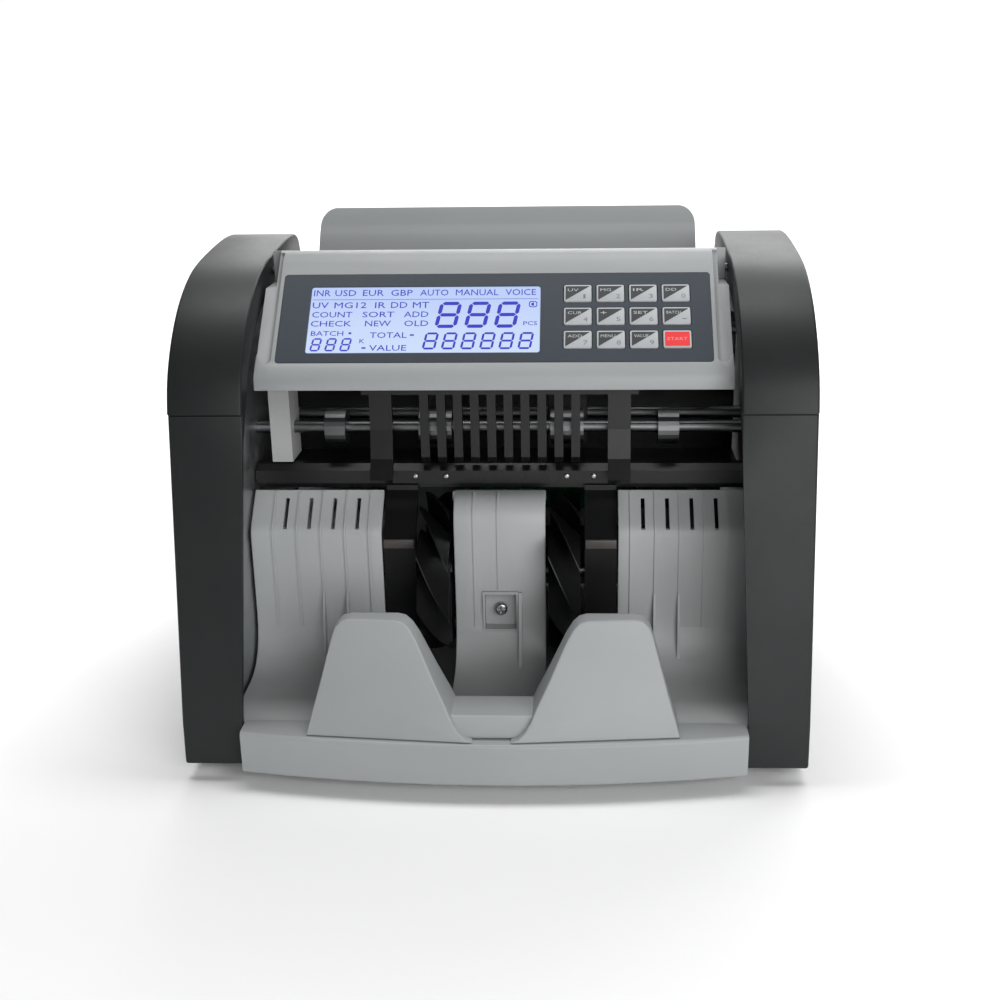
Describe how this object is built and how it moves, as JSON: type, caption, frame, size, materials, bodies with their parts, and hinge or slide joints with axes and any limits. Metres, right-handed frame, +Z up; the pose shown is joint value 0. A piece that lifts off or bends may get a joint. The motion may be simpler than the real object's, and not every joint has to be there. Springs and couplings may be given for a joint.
{
  "type": "banknote counting machine",
  "caption": "Desktop banknote counter with dark side covers, a hinged front panel with display and keypad, a rear-top hopper and a front stacker pocket.",
  "frame": {"origin": "middle of the footprint, on the table under the feet", "axes": "+X to the operator's right, +Y to the back, +Z up; the operator faces the -Y side"},
  "size_m": [0.28, 0.242, 0.236],
  "materials": {
    "light_plastic": "fine matt",
    "dark_plastic": "semi-gloss",
    "black_plastic": "semi-gloss",
    "overlay_film": "satin film",
    "display_glass": "backlit",
    "key_film": "satin film",
    "red_key_film": "satin film",
    "circuit_board": "solder mask",
    "bright_steel": "ground",
    "plated_sheet": "zinc plated",
    "rubber": "matt",
    "white_nylon": "satin"
  },
  "bodies": {
    "chassis": {"base_tray": "light_plastic", "foot_front_left": "rubber", "foot_front_right": "rubber", "foot_rear_left": "rubber", "foot_rear_right": "rubber", "side_cover_left": "dark_plastic", "side_cover_right": "dark_plastic", "side_frame_left": "plated_sheet", "side_frame_right": "plated_sheet", "rear_cover": "light_plastic", "hopper_back_plate": "light_plastic", "hopper_tray": "light_plastic", "panel_hinge_rod": "bright_steel", "stop_plate": "light_plastic", "stacker_back_left": "light_plastic", "stacker_back_right": "light_plastic", "stacker_back_centre": "light_plastic", "centre_screw": "bright_steel", "guide_comb": "black_plastic", "sensor_bar": "black_plastic", "bearing_bracket": "white_nylon", "inner_deck": "black_plastic", "main_board": "circuit_board", "main_motor": "plated_sheet", "power_inlet": "black_plastic", "drive_belt": "rubber", "feed_belt": "rubber"},
    "front_panel": {"control_panel_housing": "light_plastic", "panel_overlay": "overlay_film", "lcd_window": "display_glass", "lcd_module": "black_plastic", "panel_board": "circuit_board"},
    "stacker_rotor": {"stacker_shaft": "bright_steel", "stacker_wheel_left": "black_plastic", "stacker_wheel_right": "black_plastic"},
    "drive_rotor": {"drive_shaft": "bright_steel", "drive_roller_left": "rubber", "drive_roller_right": "rubber"},
    "feed_rotor": {"feed_shaft": "bright_steel", "feed_roller_left": "rubber", "feed_roller_right": "rubber"},
    "transport_rotor": {"transport_shaft": "bright_steel"},
    "motor_rotor": {"motor_pulley": "bright_steel"},
    "guide_left": {"note_guide_left": "light_plastic"},
    "guide_right": {"note_guide_right": "light_plastic"},
    "knob": {"tension_knob": "black_plastic"},
    "handle": {"carry_handle": "black_plastic"},
    "rocker": {"power_switch": "black_plastic"},
    "key_0_cap": {"key_0": "key_film"},
    "key_1_cap": {"key_1": "key_film"},
    "key_2_cap": {"key_2": "key_film"},
    "key_3_cap": {"key_3": "key_film"},
    "key_4_cap": {"key_4": "key_film"},
    "key_5_cap": {"key_5": "key_film"},
    "key_6_cap": {"key_6": "key_film"},
    "key_7_cap": {"key_7": "key_film"},
    "key_8_cap": {"key_8": "key_film"},
    "key_9_cap": {"key_9": "key_film"},
    "key_batch_cap": {"key_batch": "key_film"},
    "key_start_cap": {"key_start": "red_key_film"}
  },
  "joints": [
    {"name": "panel_hinge", "type": "hinge", "parent": "chassis", "child": "front_panel", "pos_m": [0, -0.004, 0.2145], "axis": [-1, 0, 0], "range_deg": [0, 60]},
    {"name": "drive_spin", "type": "hinge", "parent": "chassis", "child": "drive_rotor", "pos_m": [0, 0.024, 0.1375], "axis": [1, 0, 0], "continuous": true},
    {"name": "stacker_spin", "type": "hinge", "parent": "chassis", "child": "stacker_rotor", "pos_m": [0, -0.019, 0.068], "axis": [1, 0, 0], "continuous": true},
    {"name": "feed_spin", "type": "hinge", "parent": "chassis", "child": "feed_rotor", "pos_m": [0, 0.022, 0.181], "axis": [1, 0, 0], "continuous": true},
    {"name": "transport_spin", "type": "hinge", "parent": "chassis", "child": "transport_rotor", "pos_m": [0, -0.004, 0.1375], "axis": [1, 0, 0], "continuous": true},
    {"name": "motor_spin", "type": "hinge", "parent": "chassis", "child": "motor_rotor", "pos_m": [-0.1277, 0.066, 0.062], "axis": [1, 0, 0], "continuous": true},
    {"name": "guide_left_slide", "type": "slide", "parent": "chassis", "child": "guide_left", "axis": [1, 0, 0], "range_m": [-0.003, 0.021]},
    {"name": "guide_right_slide", "type": "slide", "parent": "chassis", "child": "guide_right", "axis": [-1, 0, 0], "range_m": [-0.003, 0.021]},
    {"name": "knob_turn", "type": "hinge", "parent": "chassis", "child": "knob", "pos_m": [0, 0.084, 0.206], "axis": [0, 0, 1], "range_deg": [-140, 140]},
    {"name": "handle_swing", "type": "hinge", "parent": "chassis", "child": "handle", "pos_m": [0, 0.1163, 0.171], "axis": [1, 0, 0], "range_deg": [0, 95]},
    {"name": "switch_rock", "type": "hinge", "parent": "chassis", "child": "rocker", "pos_m": [-0.043, 0.11, 0.031], "axis": [-1, 0, 0], "range_deg": [0, 16]},
    {"name": "key_0_press", "type": "slide", "parent": "front_panel", "child": "key_0_cap", "axis": [0, 0.7071, -0.7071], "range_m": [0, 0.0005], "stiffness_N_per_m": 400, "springref_m": -0.0005},
    {"name": "key_1_press", "type": "slide", "parent": "front_panel", "child": "key_1_cap", "axis": [0, 0.7071, -0.7071], "range_m": [0, 0.0005], "stiffness_N_per_m": 400, "springref_m": -0.0005},
    {"name": "key_2_press", "type": "slide", "parent": "front_panel", "child": "key_2_cap", "axis": [0, 0.7071, -0.7071], "range_m": [0, 0.0005], "stiffness_N_per_m": 400, "springref_m": -0.0005},
    {"name": "key_3_press", "type": "slide", "parent": "front_panel", "child": "key_3_cap", "axis": [0, 0.7071, -0.7071], "range_m": [0, 0.0005], "stiffness_N_per_m": 400, "springref_m": -0.0005},
    {"name": "key_4_press", "type": "slide", "parent": "front_panel", "child": "key_4_cap", "axis": [0, 0.7071, -0.7071], "range_m": [0, 0.0005], "stiffness_N_per_m": 400, "springref_m": -0.0005},
    {"name": "key_5_press", "type": "slide", "parent": "front_panel", "child": "key_5_cap", "axis": [0, 0.7071, -0.7071], "range_m": [0, 0.0005], "stiffness_N_per_m": 400, "springref_m": -0.0005},
    {"name": "key_6_press", "type": "slide", "parent": "front_panel", "child": "key_6_cap", "axis": [0, 0.7071, -0.7071], "range_m": [0, 0.0005], "stiffness_N_per_m": 400, "springref_m": -0.0005},
    {"name": "key_7_press", "type": "slide", "parent": "front_panel", "child": "key_7_cap", "axis": [0, 0.7071, -0.7071], "range_m": [0, 0.0005], "stiffness_N_per_m": 400, "springref_m": -0.0005},
    {"name": "key_8_press", "type": "slide", "parent": "front_panel", "child": "key_8_cap", "axis": [0, 0.7071, -0.7071], "range_m": [0, 0.0005], "stiffness_N_per_m": 400, "springref_m": -0.0005},
    {"name": "key_9_press", "type": "slide", "parent": "front_panel", "child": "key_9_cap", "axis": [0, 0.7071, -0.7071], "range_m": [0, 0.0005], "stiffness_N_per_m": 400, "springref_m": -0.0005},
    {"name": "key_batch_press", "type": "slide", "parent": "front_panel", "child": "key_batch_cap", "axis": [0, 0.7071, -0.7071], "range_m": [0, 0.0005], "stiffness_N_per_m": 400, "springref_m": -0.0005},
    {"name": "key_start_press", "type": "slide", "parent": "front_panel", "child": "key_start_cap", "axis": [0, 0.7071, -0.7071], "range_m": [0, 0.0005], "stiffness_N_per_m": 400, "springref_m": -0.0005}
  ],
  "couplings": [
    {"joint": "stacker_spin", "follows": "drive_spin", "ratio": 1},
    {"joint": "feed_spin", "follows": "drive_spin", "ratio": 1},
    {"joint": "transport_spin", "follows": "drive_spin", "ratio": -2.1628},
    {"joint": "motor_spin", "follows": "drive_spin", "ratio": 1.8182},
    {"joint": "guide_right_slide", "follows": "guide_left_slide", "ratio": 1}
  ]
}
